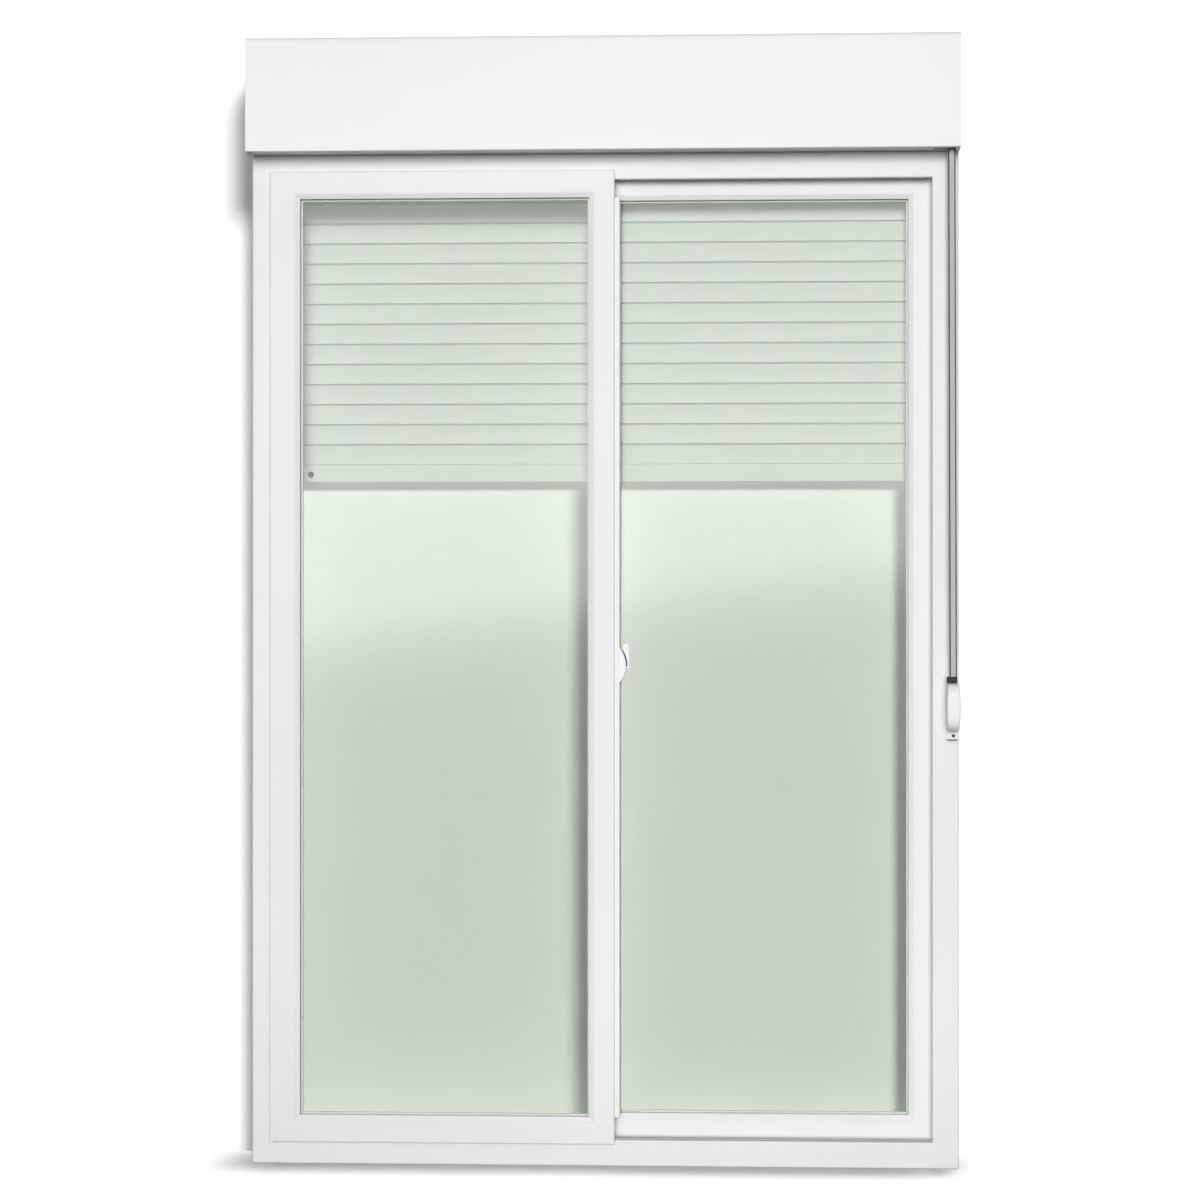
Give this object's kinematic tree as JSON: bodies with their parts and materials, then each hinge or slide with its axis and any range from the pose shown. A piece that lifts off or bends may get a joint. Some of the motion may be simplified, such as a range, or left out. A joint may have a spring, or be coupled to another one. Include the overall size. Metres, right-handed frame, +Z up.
{
  "type": "sliding balcony door",
  "caption": "White PVC balcony door with sliding glazed sashes in a tracked frame, under a roller-shutter box with a partly lowered shutter and a strap winder.",
  "frame": {"origin": "middle of the sill's underside, halfway through the depth of the frame", "axes": "+X to the right seen from the room, +Y towards the outside, +Z up"},
  "size_m": [1.4, 0.2327, 2.224],
  "materials": {
    "pvc": "smooth white PVC",
    "box_pvc": "smooth white PVC",
    "slat_pvc": "satin white PVC",
    "winder_plastic": "smooth white plastic",
    "latch_plastic": "smooth white plastic",
    "dark_plastic": "matt black plastic",
    "roller": "grey nylon",
    "gasket": "grey seal",
    "stop_rubber": "black rubber",
    "aluminium": "drawn",
    "spacer": "drawn",
    "steel": "galvanised",
    "strap": "woven grey with dark edges",
    "glass": "clear float glass"
  },
  "bodies": {
    "frame": {"frame_sill": "pvc", "frame_head": "pvc", "frame_jamb_left": "pvc", "frame_jamb_right": "pvc", "track_rails": "aluminium", "shutter_guide_left": "pvc", "shutter_guide_right": "pvc", "box_front_panel": "box_pvc", "box_top_panel": "box_pvc", "box_back_panel": "box_pvc", "box_access_cover": "box_pvc", "box_end_left": "box_pvc", "box_end_right": "box_pvc", "shutter_axle": "steel", "shutter_slats": "slat_pvc", "shutter_end_slat": "slat_pvc", "shutter_stops": "stop_rubber", "lift_strap": "strap", "strap_guide": "dark_plastic", "winder_base": "winder_plastic", "winder_case": "winder_plastic", "winder_inlet": "dark_plastic"},
    "front_sash": {"front_stile_outer": "pvc", "front_stile_meeting": "pvc", "front_rail_top": "pvc", "front_rail_bottom": "pvc", "front_beads": "pvc", "front_gaskets": "gasket", "front_glass": "glass", "front_spacer": "spacer", "front_interlock": "pvc", "front_rollers": "roller", "latch_body": "latch_plastic"},
    "rear_sash": {"rear_stile_outer": "pvc", "rear_stile_meeting": "pvc", "rear_rail_top": "pvc", "rear_rail_bottom": "pvc", "rear_beads": "pvc", "rear_gaskets": "gasket", "rear_glass": "glass", "rear_spacer": "spacer", "rear_interlock": "pvc", "rear_rollers": "roller"},
    "latch_lever": {"latch_lever": "latch_plastic"}
  },
  "joints": [
    {"name": "front_sash_slide", "type": "slide", "parent": "frame", "child": "front_sash", "axis": [1, 0, 0], "range_m": [0, 0.57]},
    {"name": "rear_sash_slide", "type": "slide", "parent": "frame", "child": "rear_sash", "axis": [-1, 0, 0], "range_m": [0, 0.62]},
    {"name": "latch_lever_turn", "type": "hinge", "parent": "front_sash", "child": "latch_lever", "pos_m": [0.0461, -0.041, 0.984], "axis": [0, 1, 0], "range_deg": [0, 30]}
  ]
}
